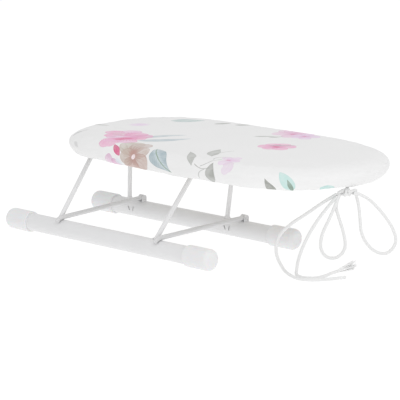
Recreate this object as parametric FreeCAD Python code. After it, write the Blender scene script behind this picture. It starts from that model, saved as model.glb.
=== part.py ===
import FreeCAD, Part
import math
import os

# Tabletop ironing board, millimetres, +Z up. The origin is the middle of the footprint,
# on the surface that the board stands on. +X runs along the board towards its rounded nose,
# -Y is the side of the foot that the braces' claws rest on.

V = FreeCAD.Vector
X_AXIS = V(1, 0, 0)
Z_AXIS = V(0, 0, 1)

# overall
HALF_LENGTH = 284.0        # half of the footprint along X
HALF_DEPTH = 163.5         # half of the footprint along Y

# padded board
BOARD_HALF_LENGTH = 269.0
BOARD_HALF_WIDTH = 146.5
BOARD_TOP = 150.0
BOARD_BOTTOM = 117.4       # underside of the soft rim
RIM_ROUND = 18.0           # how far the rounded rim reaches in from the outline
BLUNT_POWER = 7.0          # squareness of the blunt end
NOSE_POWER = 3.5           # roundness of the nose
TAPER = 0.06               # the widest place is a little towards the nose
TAPER_GAIN = 1.011         # how much the taper adds to the half-width there
COVER_THICKNESS = 1.0
PANEL_BOTTOM = 126.6
PANEL_THICKNESS = 10.0
PANEL_INSET = 14.0
HEM_INNER_INSET = 21.0
CASING_INSET = 13.5
CASING_CORD_HEIGHT = 123.2
TUNNEL_RADIUS = 2.8
CORD_RADIUS = 2.4
TUBE_LIMIT = 80.0          # degrees up each side of a ring tube's section
BOARD_X = HALF_LENGTH - BOARD_HALF_LENGTH
BOARD_Y = HALF_DEPTH - BOARD_HALF_WIDTH

# feet
FOOT_LENGTH = 422.0
FOOT_SPACING = 181.0
FOOT_RADIUS = 13.3
FOOT_WALL = 1.2
FOOT_HEIGHT = 15.6         # height of the tube's axis
CAP_RADIUS = 15.8
CAP_LENGTH = 47.0
CAP_END = 4.0
CAP_ROUND = 8.0
CAP_LIP = 1.2

# wires
WIRE_RADIUS = 3.5
FOOT_LEFT_X = -HALF_LENGTH
FOOT_MID_X = FOOT_LEFT_X + FOOT_LENGTH / 2
FRONT_FOOT_Y = -HALF_DEPTH + CAP_RADIUS
REAR_FOOT_Y = FRONT_FOOT_Y + FOOT_SPACING
FRONT_PIVOT_Y = BOARD_Y - 82.6
REAR_PIVOT_Y = BOARD_Y + 24.9
PIVOT_HEIGHT = 121.6
LEG_BEND = 9.0
FRONT_LEG_FOOT_X = (-177.0, 24.5)
FRONT_LEG_TOP_X = (-184.5, 27.5)
REAR_LEG_FOOT_X = (-208.5, -1.2)
REAR_LEG_TOP_X = (-215.1, 5.5)
WELD_RADIUS = 5.2
WELD_HEIGHT = 3.4
WELD_OVERLAP = 0.2         # how much the bead's thin end stands out from the wire
WELD_START = 1.2
CROWN_SINK = 2.0           # how far the wires' lines start below the tube's crown

# pivot straps and their screws
PIVOT_CLEARANCE = 0.05
STRAP_THICKNESS = 1.4
STRAP_WIDTH = 14.0
STRAP_REACH = 15.0
SCREW_OFFSET = 9.8
SCREW_RADIUS = 1.5
SCREW_DEPTH = 8.0
SCREW_HEAD_RADIUS = 3.0
SCREW_HEAD_HEIGHT = 2.0
SCREW_HEAD_EDGE = 0.8
SCREW_SLOT_LENGTH = 4.0
SCREW_SLOT_WIDTH = 0.8
SCREW_SLOT_DEPTH = 1.1
FRONT_STRAP_X = (-155.0, 5.0)
REAR_STRAP_X = (-188.0, -32.0)

# braces
BRACE_REAR_X = (-180.6, 34.0)
BRACE_FRONT_X = (-169.2, 35.0)
BRACE_PIN_RISE = 18.3      # above the rear foot's axis
BRACE_EYE_RADIUS = 4.6
BRACE_EYE_WIDTH = 6.0
EYE_OVERLAP = 1.0          # how far the arm's wire reaches into its eye
PIN_RADIUS = 2.0
PIN_HEAD_RADIUS = 3.3
PIN_HEAD = 1.0
EAR_THICKNESS = 1.5
EAR_GAP = 0.3
EAR_HALF_WIDTH = 4.6
EAR_SINK = 3.0             # how far an ear's plate starts below the tube's crown
CLAW_RADIUS = 17.1         # middle of the claw's wire, from the front foot's axis
CLAW_TURN = 40.0           # degrees that the claw reaches over the front crown
CLAW_END = 1.0

# lanced notches in the rear tube, each a pair of short slots that lean together
NOTCH_WIDTH = 1.5
NOTCH_HEIGHT = 7.0
NOTCH_DEPTH = 6.0
NOTCH_LEAD = 2.0           # how far outside the tube's wall a notch's cut begins
NOTCH_X = (-193.0, 10.0)
NOTCH_SPREAD = 9.0
NOTCH_LEANS = (-30.0, 5.0)
NOTCH_RISE = 1.0

# drawstring bow: the strands leave the knot under the nose
KNOT_ENDS = (V(259.5, -18.5, 111.6), V(275.5, -2.5, 112.4))
KNOT_RADIUS = 4.6
KNOT_NECK_END = V(264.0, -6.5, 121.0)
KNOT_WRAP = 1.0            # how far the wrap stands out round the knot's middle
NECK_RADIUS = 3.0
LOOP_RIGHT = [(276, -6.5, 112), (288, 4.5, 108), (304, 18.5, 87), (316, 30.5, 64), (320, 38.5, 40),
              (307, 31.5, 20), (290, 17.5, 27), (279, 7.5, 49), (277, 6.5, 75), (276, 4.5, 95), (274, -0.5, 110)]
LOOP_LEFT = [(261, -19.5, 110), (258, -24.5, 95), (253, -30.5, 76), (245, -38.5, 53), (242, -38.5, 31),
             (248, -30.5, 17), (259, -18.5, 17), (266, -9.5, 31), (262, -10.5, 53), (256, -15.5, 76),
             (253, -19.5, 93), (257, -14.5, 107)]
TAIL_LEFT = [(256, -19.5, 109), (243, -32.5, 98), (224, -47.5, 80), (204, -63.5, 63), (191, -73.5, 43),
             (191, -74.5, 20), (208, -77.5, 2.4), (233, -94.5, 2.4), (258, -105.5, 2.4), (277, -98.5, 2.4),
             (290, -80.5, 2.4), (299, -61.5, 2.4)]
TAIL_RIGHT = [(257, -22.5, 105), (251, -31.5, 93), (240, -43.5, 72), (230, -54.5, 46), (224, -63.5, 20),
              (232, -77.5, 2.4), (243, -89.5, 2.4), (256, -95.5, 2.4), (269, -91.5, 2.4), (276, -79.5, 2.4),
              (275, -63.5, 2.4), (271, -47.5, 2.4), (270, -31.5, 2.4)]
TUFT_LEFT_END = V(302.5, -53.5, 3.1)
TUFT_LEFT_RADIUS = 3.0
TUFT_RIGHT_END = V(277.0, -3.5, 8.2)
TUFT_RIGHT_RADIUS = 8.0


def unit(vector):
    return vector * (1.0 / vector.Length)


def rod(start, end, radius):
    return Part.makeCylinder(radius, (end - start).Length, start, end - start)


def outline_point(angle, inset):
    """A point of the board's outline, moved inwards along the outline's normal."""
    half_length = BOARD_HALF_LENGTH - RIM_ROUND
    half_width = BOARD_HALF_WIDTH - RIM_ROUND

    def core(at):
        along = math.cos(at)
        power = NOSE_POWER if along > 0 else BLUNT_POWER
        root = math.sqrt(max(0.0, 1 - abs(along) ** power))
        side = math.copysign(root, math.sin(at))
        return V(half_length * along, half_width * side * (1 + TAPER * along) / TAPER_GAIN, 0)

    step = 1e-3
    tangent = unit(core(angle + step) - core(angle - step))
    outward = V(tangent.y, -tangent.x, 0)
    return core(angle) + outward * (RIM_ROUND - inset) + V(BOARD_X, BOARD_Y, 0)


def outline_wire(inset, height, count=64):
    points = []
    for i in range(count):
        point = outline_point(2 * math.pi * (i + 0.5) / count, inset)
        points.append(V(point.x, point.y, height))
    curve = Part.BSplineCurve()
    curve.interpolate(Points=points, PeriodicFlag=True)
    return Part.Wire([curve.toShape()])


def slab(inset, bottom, top):
    """The outline at one inset, as a plate between two heights."""
    face = Part.Face(outline_wire(inset, bottom))
    return face.extrude(V(0, 0, top - bottom))


def rounded_disc(inset, height, reach, rise, limit):
    """A disc of the board's outline whose edge swells outwards, or inwards if reach is negative."""
    wires = []
    for step in range(-3, 4):
        turn = math.radians(limit * step / 3)
        wires.append(outline_wire(inset - reach * math.cos(turn), height + rise * math.sin(turn)))
    return Part.makeLoft(wires, True, False)


def padded_form(skin):
    """The whole padded board with its rounded rim, less a skin of even thickness."""
    middle = (BOARD_TOP + BOARD_BOTTOM) / 2
    half_height = (BOARD_TOP - BOARD_BOTTOM) / 2 - skin
    return rounded_disc(RIM_ROUND, middle, RIM_ROUND - skin, half_height, 90)


def ring_tube(inset, height, radius):
    """A round tube that follows the outline, with narrow flats above and below."""
    outside = rounded_disc(inset, height, radius, radius, TUBE_LIMIT)
    inside = rounded_disc(inset, height, -radius, radius, TUBE_LIMIT)
    return outside.cut(inside)


def rounded_path(points, radii):
    """Straight runs joined by tangent arcs, one radius for each inner point."""
    edges = []
    last = points[0]
    for i in range(1, len(points) - 1):
        corner = points[i]
        back = unit(points[i - 1] - corner)
        ahead = unit(points[i + 1] - corner)
        turn = math.pi - back.getAngle(ahead)
        cut = radii[i - 1] * math.tan(turn / 2)
        enter = corner + back * cut
        leave = corner + ahead * cut
        centre = corner + unit(back + ahead) * (radii[i - 1] / math.cos(turn / 2))
        middle = centre + unit(corner - centre) * radii[i - 1]
        edges.append(Part.LineSegment(last, enter).toShape())
        edges.append(Part.Arc(enter, middle, leave).toShape())
        last = leave
    edges.append(Part.LineSegment(last, points[-1]).toShape())
    return Part.Wire(edges)


def tube_along(path, radius):
    first = path.Edges[0]
    start = first.valueAt(first.FirstParameter)
    tangent = first.tangentAt(first.FirstParameter)
    profile = Part.Wire([Part.makeCircle(radius, start, tangent)])
    return path.makePipeShell([profile], True, False)


def cord(name, route):
    """A limp cord: each arc is as large as its two runs allow."""
    points = [V(*place) for place in route]
    radii = []
    for i in range(1, len(points) - 1):
        back = points[i - 1] - points[i]
        ahead = points[i + 1] - points[i]
        turn = math.pi - back.getAngle(ahead)
        radii.append(0.45 * min(back.Length, ahead.Length) / math.tan(turn / 2))
    path = rounded_path(points, radii)
    solid = tube_along(path, CORD_RADIUS)
    expected = math.pi * CORD_RADIUS ** 2 * path.Length
    print(name, "radii", [round(r) for r in radii], "length", round(path.Length),
          "volume ratio", round(solid.Volume / expected, 4))
    return solid


# ---- board ----

def strap_places():
    places = {}
    for side, x in zip(("left", "right"), FRONT_STRAP_X):
        places["front_pivot_strap_" + side] = V(x, FRONT_PIVOT_Y, PIVOT_HEIGHT)
    for side, x in zip(("left", "right"), REAR_STRAP_X):
        places["rear_pivot_strap_" + side] = V(x, REAR_PIVOT_Y, PIVOT_HEIGHT)
    return places


def screw_places():
    places = []
    for centre in strap_places().values():
        for side in (-1, 1):
            places.append(V(centre.x, centre.y + side * SCREW_OFFSET, PANEL_BOTTOM - STRAP_THICKNESS))
    return places


def base_panel():
    panel = slab(PANEL_INSET, PANEL_BOTTOM, PANEL_BOTTOM + PANEL_THICKNESS)
    for place in screw_places():
        depth = SCREW_DEPTH + STRAP_THICKNESS
        panel = panel.cut(Part.makeCylinder(SCREW_RADIUS, depth, place, Z_AXIS))
    return panel


def foam_pad():
    low = slab(-5, BOARD_BOTTOM - 5, PANEL_BOTTOM)
    panel = slab(PANEL_INSET, PANEL_BOTTOM, PANEL_BOTTOM + PANEL_THICKNESS)
    return padded_form(COVER_THICKNESS).cut(low).cut(panel)


def fabric_cover():
    opening = slab(HEM_INNER_INSET, BOARD_BOTTOM - 5, PANEL_BOTTOM)
    return padded_form(0).cut(padded_form(COVER_THICKNESS)).cut(opening)


def hem_casing():
    high = slab(-5, PANEL_BOTTOM, BOARD_TOP + 5)
    opening = slab(HEM_INNER_INSET, BOARD_BOTTOM - 5, PANEL_BOTTOM)
    tunnel = ring_tube(CASING_INSET, CASING_CORD_HEIGHT, TUNNEL_RADIUS)
    return padded_form(COVER_THICKNESS).cut(high).cut(opening).cut(tunnel)


def casing_cord():
    return ring_tube(CASING_INSET, CASING_CORD_HEIGHT, CORD_RADIUS)


def pivot_strap(centre):
    """A saddle of sheet metal that holds a crossbar under the panel, with two screw holes."""
    inner = WIRE_RADIUS + PIVOT_CLEARANCE
    outer = inner + STRAP_THICKNESS
    rise = PANEL_BOTTOM - PIVOT_HEIGHT
    left = centre.x - STRAP_WIDTH / 2
    bowl = Part.makeCylinder(outer, STRAP_WIDTH, V(left, centre.y, centre.z), X_AXIS)
    cheeks = Part.makeBox(STRAP_WIDTH, 2 * outer, rise, V(left, centre.y - outer, centre.z))
    flange = Part.makeBox(STRAP_WIDTH, 2 * STRAP_REACH, STRAP_THICKNESS,
                          V(left, centre.y - STRAP_REACH, PANEL_BOTTOM - STRAP_THICKNESS))
    strap = bowl.fuse(cheeks).fuse(flange)
    strap = strap.cut(Part.makeCylinder(inner, STRAP_WIDTH, V(left, centre.y, centre.z), X_AXIS))
    strap = strap.cut(Part.makeBox(STRAP_WIDTH, 2 * inner, rise, V(left, centre.y - inner, centre.z)))
    for side in (-1, 1):
        hole = V(centre.x, centre.y + side * SCREW_OFFSET, PANEL_BOTTOM - 2 * STRAP_THICKNESS)
        strap = strap.cut(Part.makeCylinder(SCREW_RADIUS, 3 * STRAP_THICKNESS, hole, Z_AXIS))
    return strap.removeSplitter()


def screw(place):
    head = Part.makeCylinder(SCREW_HEAD_RADIUS, SCREW_HEAD_HEIGHT,
                             place - Z_AXIS * SCREW_HEAD_HEIGHT, Z_AXIS)
    rim = [edge for edge in head.Edges
           if abs(edge.CenterOfMass.z - place.z + SCREW_HEAD_HEIGHT) < 0.01
           and abs(edge.Length - 2 * math.pi * SCREW_HEAD_RADIUS) < 0.1]
    head = head.makeFillet(SCREW_HEAD_EDGE, rim)
    for length, width in ((SCREW_SLOT_LENGTH, SCREW_SLOT_WIDTH), (SCREW_SLOT_WIDTH, SCREW_SLOT_LENGTH)):
        corner = place + V(-length / 2, -width / 2, -SCREW_HEAD_HEIGHT)
        head = head.cut(Part.makeBox(length, width, SCREW_SLOT_DEPTH, corner))
    shank = Part.makeCylinder(SCREW_RADIUS, SCREW_DEPTH + STRAP_THICKNESS, place, Z_AXIS)
    return head.fuse(shank)


def strap_screws():
    return Part.makeCompound([screw(place) for place in screw_places()])


# ---- feet and legs ----

def foot_tube(y):
    start = V(FOOT_LEFT_X + CAP_END, y, FOOT_HEIGHT)
    length = FOOT_LENGTH - 2 * CAP_END
    outer = Part.makeCylinder(FOOT_RADIUS, length, start, X_AXIS)
    return outer.cut(Part.makeCylinder(FOOT_RADIUS - FOOT_WALL, length, start, X_AXIS))


def foot_bar(y):
    return Part.makeCylinder(FOOT_RADIUS, FOOT_LENGTH, V(FOOT_LEFT_X, y, FOOT_HEIGHT), X_AXIS)


def foot_cap(y, side):
    """A soft cap over the tube's end, with a rounded nose, a lip and a small flat to stand on."""
    end_x = FOOT_MID_X + side * FOOT_LENGTH / 2
    end = V(end_x, y, FOOT_HEIGHT)
    inwards = V(-side, 0, 0)
    body = Part.makeCylinder(CAP_RADIUS, CAP_LENGTH, end, inwards)
    nose = [edge for edge in body.Edges
            if abs(edge.CenterOfMass.x - end_x) < 0.01 and edge.Length > 20]
    body = body.makeFillet(CAP_ROUND, nose)
    mouth = [edge for edge in body.Edges
             if abs(abs(edge.CenterOfMass.x - end_x) - CAP_LENGTH) < 0.01 and edge.Length > 20]
    body = body.makeFillet(CAP_LIP, mouth)
    body = body.cut(Part.makeCylinder(FOOT_RADIUS, CAP_LENGTH, end + inwards * CAP_END, inwards))
    under = Part.makeBox(2 * CAP_LENGTH, 2 * CAP_RADIUS, CAP_RADIUS,
                         V(end_x - CAP_LENGTH, y - CAP_RADIUS, -CAP_RADIUS))
    return body.cut(under)


def leg_corners(foot_y, foot_x, pivot_y, top_x):
    crown = FOOT_HEIGHT + FOOT_RADIUS - CROWN_SINK
    return [V(foot_x[0], foot_y, crown), V(top_x[0], pivot_y, PIVOT_HEIGHT),
            V(top_x[1], pivot_y, PIVOT_HEIGHT), V(foot_x[1], foot_y, crown)]


def leg_frame(foot_y, corners):
    path = rounded_path(corners, [LEG_BEND, LEG_BEND])
    return tube_along(path, WIRE_RADIUS).cut(foot_bar(foot_y))


def weld_beads(foot_y, corners, frame):
    beads = []
    for foot, top in ((corners[0], corners[1]), (corners[3], corners[2])):
        along = unit(top - foot)
        start = foot + along * WELD_START
        bead = Part.makeCone(WELD_RADIUS, WIRE_RADIUS + WELD_OVERLAP, WELD_HEIGHT, start, along)
        beads.append(bead.cut(foot_bar(foot_y)).cut(frame))
    return Part.makeCompound(beads)


def rear_foot_tube():
    tube = foot_tube(REAR_FOOT_Y)
    for x in NOTCH_X:
        for side, lean in zip((-1, 1), NOTCH_LEANS):
            corner = V(-NOTCH_WIDTH / 2, 0, -NOTCH_HEIGHT / 2)
            slot = Part.makeBox(NOTCH_WIDTH, NOTCH_DEPTH, NOTCH_HEIGHT, corner)
            slot.rotate(V(0, 0, 0), V(0, 1, 0), lean)
            place = V(x + side * NOTCH_SPREAD / 2, REAR_FOOT_Y - FOOT_RADIUS - NOTCH_LEAD,
                      FOOT_HEIGHT + NOTCH_RISE)
            slot.translate(place)
            tube = tube.cut(slot)
    return tube


# ---- braces ----

def brace_pin_centre(x):
    return V(x, REAR_FOOT_Y, FOOT_HEIGHT + BRACE_PIN_RISE)


def brace_clevis(x):
    """Two ears on the rear tube's crown, one each side of the arm's eye."""
    pin = brace_pin_centre(x)
    ears = []
    for side in (-1, 1):
        near = BRACE_EYE_WIDTH / 2 + EAR_GAP
        left = x + (near if side > 0 else -near - EAR_THICKNESS)
        base = FOOT_HEIGHT + FOOT_RADIUS - EAR_SINK
        plate = Part.makeBox(EAR_THICKNESS, 2 * EAR_HALF_WIDTH, pin.z - base,
                             V(left, pin.y - EAR_HALF_WIDTH, base))
        plate = plate.fuse(Part.makeCylinder(EAR_HALF_WIDTH, EAR_THICKNESS, V(left, pin.y, pin.z), X_AXIS))
        plate = plate.cut(Part.makeCylinder(PIN_RADIUS, EAR_THICKNESS, V(left, pin.y, pin.z), X_AXIS))
        ears.append(plate.cut(foot_bar(REAR_FOOT_Y)).removeSplitter())
    return Part.makeCompound(ears)


def brace_pin(x):
    outside = BRACE_EYE_WIDTH / 2 + EAR_GAP + EAR_THICKNESS
    pin = brace_pin_centre(x)
    shaft = rod(pin - X_AXIS * outside, pin + X_AXIS * outside, PIN_RADIUS)
    for side in (-1, 1):
        start = pin + X_AXIS * (side * outside)
        shaft = shaft.fuse(rod(start, start + X_AXIS * (side * PIN_HEAD), PIN_HEAD_RADIUS))
    return shaft


def brace_arm(rear_x, front_x):
    """A wire with an eye at the rear crown and a short claw that rests over the front crown."""
    pin = brace_pin_centre(rear_x)
    reach = CLAW_RADIUS * math.tan(math.radians(CLAW_TURN / 2))
    corner = V(front_x, FRONT_FOOT_Y - reach, FOOT_HEIGHT + CLAW_RADIUS)
    over = V(0, -math.cos(math.radians(CLAW_TURN)), -math.sin(math.radians(CLAW_TURN)))
    tip = corner + over * (reach + CLAW_END)
    along = unit(corner - pin)
    start = pin + along * (BRACE_EYE_RADIUS - EYE_OVERLAP)
    turn = math.pi - (pin - corner).getAngle(tip - corner)
    radius = reach / math.tan(turn / 2)
    arm = tube_along(rounded_path([start, corner, tip], [radius]), WIRE_RADIUS)
    half = X_AXIS * (BRACE_EYE_WIDTH / 2)
    arm = arm.fuse(rod(pin - half, pin + half, BRACE_EYE_RADIUS))
    room = 2 * BRACE_EYE_RADIUS
    for left in (pin.x - BRACE_EYE_WIDTH / 2 - room, pin.x + BRACE_EYE_WIDTH / 2):
        beside = Part.makeBox(room, 2 * room, 2 * room, V(left, pin.y - room, pin.z - room))
        arm = arm.cut(beside)
    return arm.cut(rod(pin - half * 2, pin + half * 2, PIN_RADIUS + PIVOT_CLEARANCE))


# ---- drawstring bow ----

def drawstring_knot():
    left, right = KNOT_ENDS
    knot = rod(left, right, KNOT_RADIUS)
    for place in (left, right):
        knot = knot.fuse(Part.makeSphere(KNOT_RADIUS, place))
    middle = (left + right) * 0.5
    knot = knot.fuse(Part.makeSphere(KNOT_RADIUS + KNOT_WRAP, middle))
    knot = knot.fuse(rod(middle, KNOT_NECK_END, NECK_RADIUS))
    return knot.cut(padded_form(0))


def tuft(route, tail, end, radius):
    """The frayed end of a tail, as a cone that widens from the cord."""
    start = V(*route[-1])
    return Part.makeCone(CORD_RADIUS, radius, (end - start).Length, start, end - start).cut(tail)


def make_nodes():
    front = leg_corners(FRONT_FOOT_Y, FRONT_LEG_FOOT_X, FRONT_PIVOT_Y, FRONT_LEG_TOP_X)
    rear = leg_corners(REAR_FOOT_Y, REAR_LEG_FOOT_X, REAR_PIVOT_Y, REAR_LEG_TOP_X)
    nodes = {
        "base_panel": base_panel(),
        "foam_pad": foam_pad(),
        "fabric_cover": fabric_cover(),
        "hem_casing": hem_casing(),
        "casing_cord": casing_cord(),
        "strap_screws": strap_screws(),
        "front_leg_frame": leg_frame(FRONT_FOOT_Y, front),
        "front_foot_tube": foot_tube(FRONT_FOOT_Y),
        "front_foot_cap_left": foot_cap(FRONT_FOOT_Y, -1),
        "front_foot_cap_right": foot_cap(FRONT_FOOT_Y, 1),
        "rear_leg_frame": leg_frame(REAR_FOOT_Y, rear),
        "rear_foot_tube": rear_foot_tube(),
        "rear_foot_cap_left": foot_cap(REAR_FOOT_Y, -1),
        "rear_foot_cap_right": foot_cap(REAR_FOOT_Y, 1),
        "drawstring_knot": drawstring_knot(),
        "bow_loop_right": cord("bow_loop_right", LOOP_RIGHT),
        "bow_loop_left": cord("bow_loop_left", LOOP_LEFT),
        "bow_tail_left": cord("bow_tail_left", TAIL_LEFT),
        "bow_tail_right": cord("bow_tail_right", TAIL_RIGHT),
    }
    nodes["tail_tuft_left"] = tuft(TAIL_LEFT, nodes["bow_tail_left"], TUFT_LEFT_END, TUFT_LEFT_RADIUS)
    nodes["tail_tuft_right"] = tuft(TAIL_RIGHT, nodes["bow_tail_right"], TUFT_RIGHT_END, TUFT_RIGHT_RADIUS)
    nodes["front_leg_welds"] = weld_beads(FRONT_FOOT_Y, front, nodes["front_leg_frame"])
    nodes["rear_leg_welds"] = weld_beads(REAR_FOOT_Y, rear, nodes["rear_leg_frame"])
    for name, centre in strap_places().items():
        nodes[name] = pivot_strap(centre)
    for side, rear_x, front_x in zip(("left", "right"), BRACE_REAR_X, BRACE_FRONT_X):
        nodes["brace_clevis_" + side] = brace_clevis(rear_x)
        nodes["brace_pin_" + side] = brace_pin(rear_x)
        nodes["brace_arm_" + side] = brace_arm(rear_x, front_x)
    return nodes


def corners_of(shape):
    points = shape.tessellate(0.1)[0]
    low = [min(point[i] for point in points) for i in range(3)]
    high = [max(point[i] for point in points) for i in range(3)]
    return low, high


os.makedirs("parts", exist_ok=True)
for node, shape in make_nodes().items():
    low, high = corners_of(shape)
    spans = "  ".join(f"{a:7.1f} {b:7.1f}" for a, b in zip(low, high))
    print(f"{node:24s} valid {shape.isValid()} solids {len(shape.Solids)} volume {shape.Volume:9.0f}  {spans}")
    shape.exportStep(f"parts/{node}.step")
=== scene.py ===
import math
import random

import bpy
import numpy as np
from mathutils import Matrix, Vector


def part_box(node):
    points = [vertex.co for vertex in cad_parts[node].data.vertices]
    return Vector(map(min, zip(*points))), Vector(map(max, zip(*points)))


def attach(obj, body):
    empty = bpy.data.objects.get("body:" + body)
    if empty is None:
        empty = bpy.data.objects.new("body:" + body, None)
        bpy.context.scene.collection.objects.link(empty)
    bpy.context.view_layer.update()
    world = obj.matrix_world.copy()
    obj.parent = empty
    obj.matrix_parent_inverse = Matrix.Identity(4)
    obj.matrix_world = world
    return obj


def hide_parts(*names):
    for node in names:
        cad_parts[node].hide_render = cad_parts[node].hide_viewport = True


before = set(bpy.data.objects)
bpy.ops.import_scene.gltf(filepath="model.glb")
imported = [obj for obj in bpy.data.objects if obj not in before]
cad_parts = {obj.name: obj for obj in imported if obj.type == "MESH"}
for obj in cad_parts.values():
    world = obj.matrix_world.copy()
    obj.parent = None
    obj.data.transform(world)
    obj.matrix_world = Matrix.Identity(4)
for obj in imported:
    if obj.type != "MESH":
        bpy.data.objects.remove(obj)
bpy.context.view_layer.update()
scene = bpy.context.scene
MM = 0.001

# ---- places read from the frame ----

COVER_LOW, COVER_HIGH = (Vector(c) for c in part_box("fabric_cover"))
PANEL_LOW = Vector(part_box("base_panel")[0])
FRONT_LOW, FRONT_HIGH = (Vector(c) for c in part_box("front_foot_tube"))
REAR_LOW, REAR_HIGH = (Vector(c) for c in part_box("rear_foot_tube"))
BOARD_MIDDLE = (COVER_LOW + COVER_HIGH) / 2
FEET_MIDDLE = (FRONT_LOW + FRONT_HIGH + REAR_LOW + REAR_HIGH) / 4

# the board's outline, as in the design: a blunt end, a rounded nose and a rounded rim
RIM_ROUND = 18.0 * MM
BLUNT_POWER = 7.0
NOSE_POWER = 3.5
TAPER = 0.06
TAPER_GAIN = 1.011
CORE_LENGTH = (COVER_HIGH.x - COVER_LOW.x) / 2 - RIM_ROUND
CORE_WIDTH = (COVER_HIGH.y - COVER_LOW.y) / 2 - RIM_ROUND


def core_points(angles):
    """Points of the line that the rim is rounded about, and the outward normals there."""
    def core(at):
        along = np.cos(at)
        power = np.where(along > 0, NOSE_POWER, BLUNT_POWER)
        root = np.sqrt(np.maximum(0, 1 - np.abs(along) ** power))
        side = np.copysign(root, np.sin(at)) * (1 + TAPER * along) / TAPER_GAIN
        return np.stack([CORE_LENGTH * along, CORE_WIDTH * side], -1)

    step = 1e-3
    tangent = core(angles + step) - core(angles - step)
    tangent /= np.linalg.norm(tangent, axis=-1, keepdims=True)
    normal = np.stack([tangent[:, 1], -tangent[:, 0]], -1)
    return core(angles) + np.array([BOARD_MIDDLE.x, BOARD_MIDDLE.y]), normal


# ---- node helpers ----

def to_linear(level):
    level = level / 255
    return level / 12.92 if level <= 0.04045 else ((level + 0.055) / 1.055) ** 2.4


def shade(red, green, blue):
    return (to_linear(red), to_linear(green), to_linear(blue), 1.0)


class Paint:
    """A material's node tree, with one short call for each kind of node."""

    def __init__(self, name):
        self.material = bpy.data.materials.new(name)
        self.material.use_nodes = True
        self.tree = self.material.node_tree
        self.surface = self.tree.nodes["Principled BSDF"]

    def make(self, kind, values=(), **settings):
        node = self.tree.nodes.new(kind)
        for key, value in settings.items():
            setattr(node, key, value)
        for socket, value in dict(values).items():
            self.put(node.inputs[socket], value)
        return node

    def put(self, socket, value):
        if isinstance(value, bpy.types.NodeSocket):
            self.tree.links.new(value, socket)
        else:
            socket.default_value = value

    def math(self, operation, first, second=0.0, third=0.0, clamp=False):
        node = self.make("ShaderNodeMath", {0: first, 1: second, 2: third}, operation=operation)
        node.use_clamp = clamp
        return node.outputs[0]

    def times(self, first, second):
        return self.math("MULTIPLY", first, second)

    def vector(self, operation, first, second=(0, 0, 0)):
        return self.make("ShaderNodeVectorMath", {0: first, 1: second}, operation=operation).outputs[0]

    def dot(self, first, second):
        node = self.make("ShaderNodeVectorMath", {0: first, 1: second}, operation="DOT_PRODUCT")
        return node.outputs["Value"]

    def scaled(self, vector, scale):
        node = self.make("ShaderNodeVectorMath", {0: vector}, operation="SCALE")
        node.inputs["Scale"].default_value = scale
        return node.outputs[0]

    def ramp(self, value, low, high, start=0.0, end=1.0):
        values = {"Value": value, "From Min": low, "From Max": high, "To Min": start, "To Max": end}
        return self.make("ShaderNodeMapRange", values, interpolation_type="SMOOTHSTEP").outputs[0]

    def noise(self, vector, scale, detail=2.0, output="Fac"):
        values = {"Vector": vector, "Scale": scale, "Detail": detail}
        return self.make("ShaderNodeTexNoise", values).outputs[output]

    def mix(self, amount, first, second):
        node = self.make("ShaderNodeMix", data_type="RGBA")
        self.put(node.inputs[0], amount)
        self.put(node.inputs[6], first)
        self.put(node.inputs[7], second)
        return node.outputs[2]

    def object_place(self):
        return self.make("ShaderNodeTexCoord").outputs["Object"]

    def attribute(self, name):
        return self.make("ShaderNodeAttribute", attribute_name=name).outputs["Vector"]

    def split(self, vector):
        return self.make("ShaderNodeSeparateXYZ", {0: vector}).outputs

    def bump(self, height, strength, distance, under=None):
        node = self.make("ShaderNodeBump", {"Height": height, "Strength": strength, "Distance": distance})
        if under is not None:
            self.put(node.inputs["Normal"], under)
        return node.outputs["Normal"]

    def finish(self, **sockets):
        names = {"color": "Base Color", "rough": "Roughness", "normal": "Normal", "metal": "Metallic",
                 "sheen": "Sheen Weight", "coat": "Coat Weight", "specular": "Specular IOR Level",
                 "under": "Subsurface Weight", "under_scale": "Subsurface Scale",
                 "sheen_rough": "Sheen Roughness", "coat_rough": "Coat Roughness"}
        for name, value in sockets.items():
            self.put(self.surface.inputs[names[name]], value)
        return self.material


# ---- materials ----

THREADS_PER_METRE = 1300


def weave(paint, place):
    """Plain weave: rows of warp and weft that pass over and under each other."""
    x, y, _ = paint.split(paint.scaled(place, THREADS_PER_METRE * math.pi))
    warp = paint.math("SINE", x)
    weft = paint.math("SINE", y)
    over = paint.times(warp, weft)
    ribs = paint.math("MAXIMUM", paint.math("ABSOLUTE", warp), paint.math("ABSOLUTE", weft))
    return paint.math("ADD", paint.times(over, 0.35), ribs)


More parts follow.
